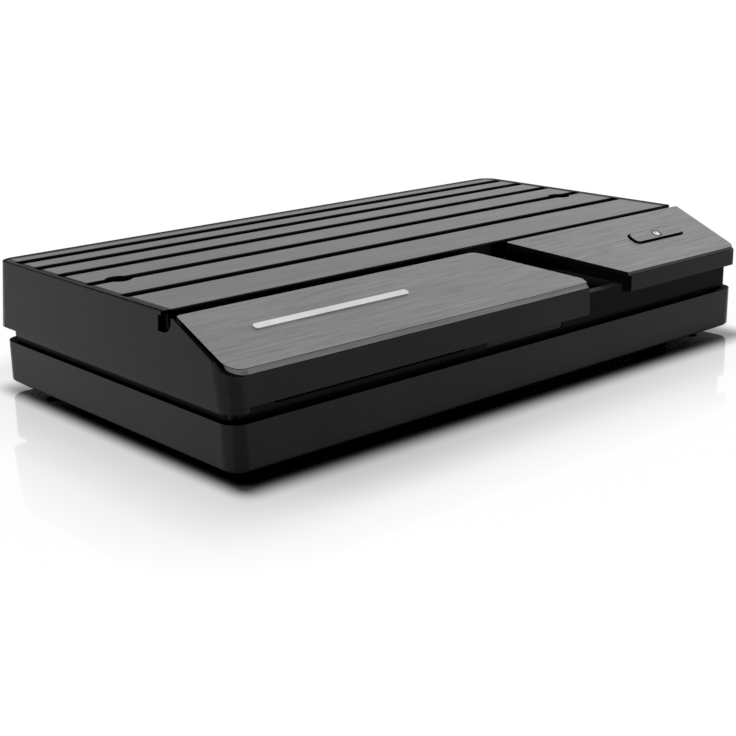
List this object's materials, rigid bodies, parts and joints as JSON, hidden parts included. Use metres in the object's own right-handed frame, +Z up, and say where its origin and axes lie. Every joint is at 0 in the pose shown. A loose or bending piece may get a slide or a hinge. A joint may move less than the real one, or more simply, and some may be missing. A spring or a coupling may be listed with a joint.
{
  "type": "satellite tv receiver",
  "caption": "Low set-top satellite receiver with a ribbed brushed top, sloping front plates, a slanted channel, a standby button, a card slot and a recessed rear socket panel.",
  "frame": {"origin": "middle of the footprint, at the height of the table under the feet", "axes": "+X to the viewer's right along the case, +Y to the rear, +Z up; the front lip faces -Y"},
  "size_m": [0.22, 0.123, 0.0409],
  "materials": {
    "case_plastic": "fine textured",
    "fascia_plastic": "fine textured",
    "black_plastic": "plain moulded",
    "panel_plastic": "fine textured",
    "foot_rubber": "soft",
    "brushed_metal": "brushed and anodised dark silver",
    "polished_metal": "polished",
    "dark_window": "polished",
    "button_plastic": "silver lacquered",
    "light_pipe": "clear, slightly milky",
    "switch_metal": "plain",
    "circuit_board": "green solder mask",
    "zinc_steel": "zinc plated",
    "black_steel": "blackened",
    "flex_film": "white film",
    "white_plastic": "plain moulded",
    "nickel": "nickel plated",
    "shutter_plastic": "plain moulded",
    "tin_steel": "tin plated",
    "gold_contacts": "gold plated",
    "chip_plastic": "moulded epoxy",
    "pad_rubber": "soft pad",
    "heatsink_aluminium": "black anodised",
    "ferrite": "pressed powder",
    "capacitor_aluminium": "bright can",
    "reader_plastic": "plain moulded"
  },
  "bodies": {
    "case": {"aerial_barrels": "nickel", "aerial_contacts": "gold_contacts", "aerial_insulators": "white_plastic", "aerial_nuts": "nickel", "base_tray": "case_plastic", "button_board": "circuit_board", "button_board_screws": "zinc_steel", "button_flex_cable": "flex_film", "button_lamp": "light_pipe", "capacitors": "capacitor_aluminium", "card_reader": "reader_plastic", "card_reader_contacts": "gold_contacts", "case_screws": "black_steel", "clock_crystal": "tin_steel", "dc_jack_body": "black_plastic", "dc_jack_pin": "nickel", "flash_chip": "chip_plastic", "flex_headers": "white_plastic", "front_board": "circuit_board", "front_fascia": "fascia_plastic", "hdmi_shell": "tin_steel", "hdmi_tongue": "black_plastic", "heatsink": "heatsink_aluminium", "heatsink_pins": "white_plastic", "infrared_receiver": "chip_plastic", "infrared_window": "dark_window", "inner_frame": "black_plastic", "left_front_plate": "brushed_metal", "main_board": "circuit_board", "main_board_screws": "zinc_steel", "memory_chips": "chip_plastic", "network_contacts": "gold_contacts", "network_socket": "black_plastic", "optical_socket": "black_plastic", "power_inductors": "ferrite", "processor": "chip_plastic", "rear_panel": "panel_plastic", "rear_panel_screws": "black_steel", "ribbed_top_plate": "brushed_metal", "right_front_block": "case_plastic", "right_front_plate": "brushed_metal", "rubber_feet": "foot_rubber", "service_socket": "tin_steel", "service_tongue": "black_plastic", "status_lights": "light_pipe", "tact_switch_body": "switch_metal", "thermal_pad": "pad_rubber", "top_plate_screws": "black_steel", "trim_bar": "polished_metal", "tuner_can": "tin_steel", "tuner_lid": "tin_steel", "upper_cover": "case_plastic", "usb_shells": "tin_steel", "usb_tongues": "white_plastic", "wireless_module": "tin_steel"},
    "button": {"standby_button": "button_plastic", "button_light_pipe": "light_pipe", "tact_switch_plunger": "black_plastic"},
    "shutter": {"optical_shutter": "shutter_plastic"}
  },
  "joints": [
    {"name": "button_press", "type": "slide", "parent": "case", "child": "button", "axis": [0, 0.4111, -0.9116], "range_m": [0, 0.0005], "stiffness_N_per_m": 800, "springref_m": -0.0005},
    {"name": "shutter_hinge", "type": "hinge", "parent": "case", "child": "shutter", "pos_m": [-0.06265, 0.05305, 0.01805], "axis": [1, 0, 0], "range_deg": [-80, 0], "stiffness_Nm_per_rad": 0.0004, "springref_deg": 17.19}
  ]
}
